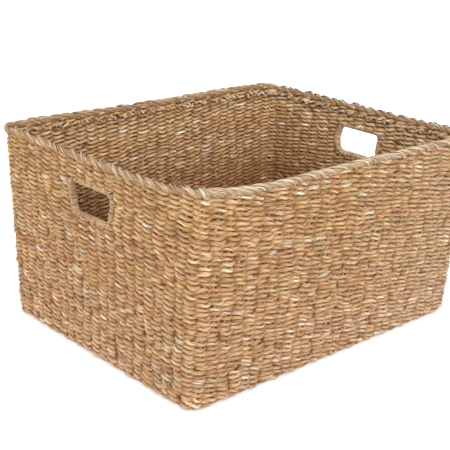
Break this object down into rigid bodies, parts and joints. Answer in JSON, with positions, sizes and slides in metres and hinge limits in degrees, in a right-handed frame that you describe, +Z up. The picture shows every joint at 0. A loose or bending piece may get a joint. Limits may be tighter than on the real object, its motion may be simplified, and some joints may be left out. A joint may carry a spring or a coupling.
{
  "type": "seagrass storage basket",
  "caption": "Rectangular open-top storage basket woven from seagrass strand, with a rolled border and a bound hand hole in each short wall.",
  "frame": {"origin": "middle of the basket's footprint, on the surface it stands on", "axes": "+Z up, X along the long sides, Y along the short ends that carry the hand holes"},
  "size_m": [0.544, 0.441, 0.285],
  "materials": {
    "weft": "dry twisted seagrass strand, golden tan with straw, pinkish and brown streaks",
    "weft_inside": "dry twisted seagrass strand, slightly redder and browner than outside",
    "stakes": "tight seagrass cord, mostly hidden",
    "border": "thick pale seagrass bundles, fibrous, matte with a soft sheen",
    "hole_binding": "pale flat straw wraps, matte with a soft sheen",
    "trimmed_ends": "cut dry fibre ends, darker in their gaps"
  },
  "bodies": {
    "root": {"base_weft_under": "weft", "base_weft_upper": "weft_inside", "crosswise_stakes": "stakes", "left_end_stakes": "stakes", "right_end_stakes": "stakes", "corner_stakes": "stakes", "lower_weft_outer": "weft", "lower_weft_inner": "weft_inside", "front_hole_level_weft_outer": "weft", "front_hole_level_weft_inner": "weft_inside", "rear_hole_level_weft_outer": "weft", "rear_hole_level_weft_inner": "weft_inside", "upper_weft_outer": "weft", "upper_weft_inner": "weft_inside", "border_core": "stakes", "border_outer_strand": "border", "border_inner_strand": "border", "border_top_strand": "border", "trimmed_stake_ends": "trimmed_ends", "left_hole_top_binding": "hole_binding", "left_hole_bottom_binding": "hole_binding", "left_hole_front_edge": "hole_binding", "left_hole_rear_edge": "hole_binding", "right_hole_top_binding": "hole_binding", "right_hole_bottom_binding": "hole_binding", "right_hole_front_edge": "hole_binding", "right_hole_rear_edge": "hole_binding"}
  },
  "joints": []
}
